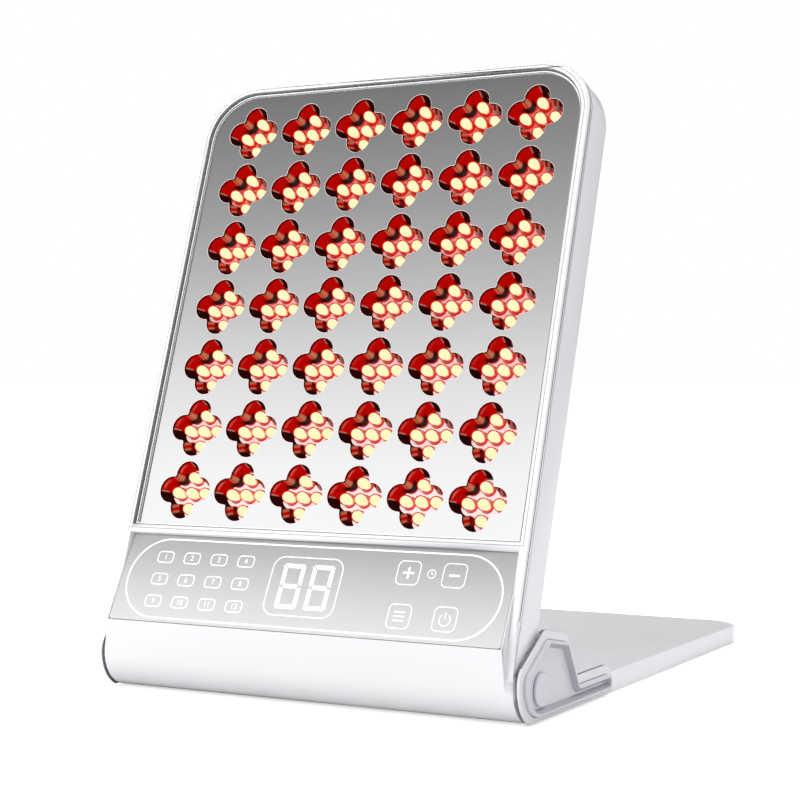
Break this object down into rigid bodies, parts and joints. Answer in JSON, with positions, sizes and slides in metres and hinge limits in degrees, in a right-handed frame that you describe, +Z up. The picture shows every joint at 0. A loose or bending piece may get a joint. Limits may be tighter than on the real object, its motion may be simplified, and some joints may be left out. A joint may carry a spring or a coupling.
{
  "type": "red light therapy panel",
  "caption": "Table-top red light panel with clusters of LEDs in a mirror plate and a touch console, tilting on a hinge between two ears of a flat base.",
  "frame": {"origin": "under the middle of the whole part, on the surface that it stands on", "axes": "+Z up, +X across the panel to the right of someone facing it, -Y towards that person"},
  "size_m": [0.258, 0.3534, 0.3417],
  "materials": {
    "body_white": "gloss",
    "cover_white": "satin",
    "ear_cover": "gloss",
    "foot_rubber": "matte",
    "screw_steel": "satin",
    "bush_brass": "satin",
    "black_plastic": "matte",
    "trim_metal": "satin",
    "reflector_mirror": "mirror",
    "led_board": "satin",
    "heatsink_aluminium": "satin",
    "circuit_board": "satin",
    "console_gloss": "gloss"
  },
  "bodies": {
    "base": {"base_shell": "body_white", "base_cover": "cover_white", "foot_1": "foot_rubber", "foot_2": "foot_rubber", "foot_3": "foot_rubber", "foot_4": "foot_rubber", "base_screw_1": "screw_steel", "base_screw_2": "screw_steel", "base_screw_3": "screw_steel", "base_screw_4": "screw_steel", "ear_left": "body_white", "side_cover_left": "ear_cover", "side_plug_left": "ear_cover", "hinge_pin_left": "screw_steel", "ear_right": "body_white", "side_cover_right": "ear_cover", "side_plug_right": "ear_cover", "hinge_pin_right": "screw_steel"},
    "panel": {"front_frame": "body_white", "rear_shell": "body_white", "trim_ring": "trim_metal", "reflector_plate": "reflector_mirror", "led_strip_1": "led_board", "led_strip_2": "led_board", "led_strip_3": "led_board", "led_strip_4": "led_board", "led_strip_5": "led_board", "led_strip_6": "led_board", "led_strip_7": "led_board", "heatsink_plate": "heatsink_aluminium", "driver_board": "circuit_board", "dc_inlet": "black_plastic", "rear_screw_1": "screw_steel", "rear_screw_2": "screw_steel", "rear_screw_3": "screw_steel", "rear_screw_4": "screw_steel", "rear_screw_5": "screw_steel", "rear_screw_6": "screw_steel", "console_panel": "console_gloss", "display_module": "black_plastic", "touch_board": "circuit_board", "hinge_block_left": "black_plastic", "hinge_bush_left": "bush_brass", "hinge_block_right": "black_plastic", "hinge_bush_right": "bush_brass"}
  },
  "joints": [
    {"name": "panel_tilt", "type": "hinge", "parent": "base", "child": "panel", "pos_m": [0, -0.15331, 0.0205], "axis": [-1, 0, 0], "range_deg": [-18.8, 71.2]}
  ]
}
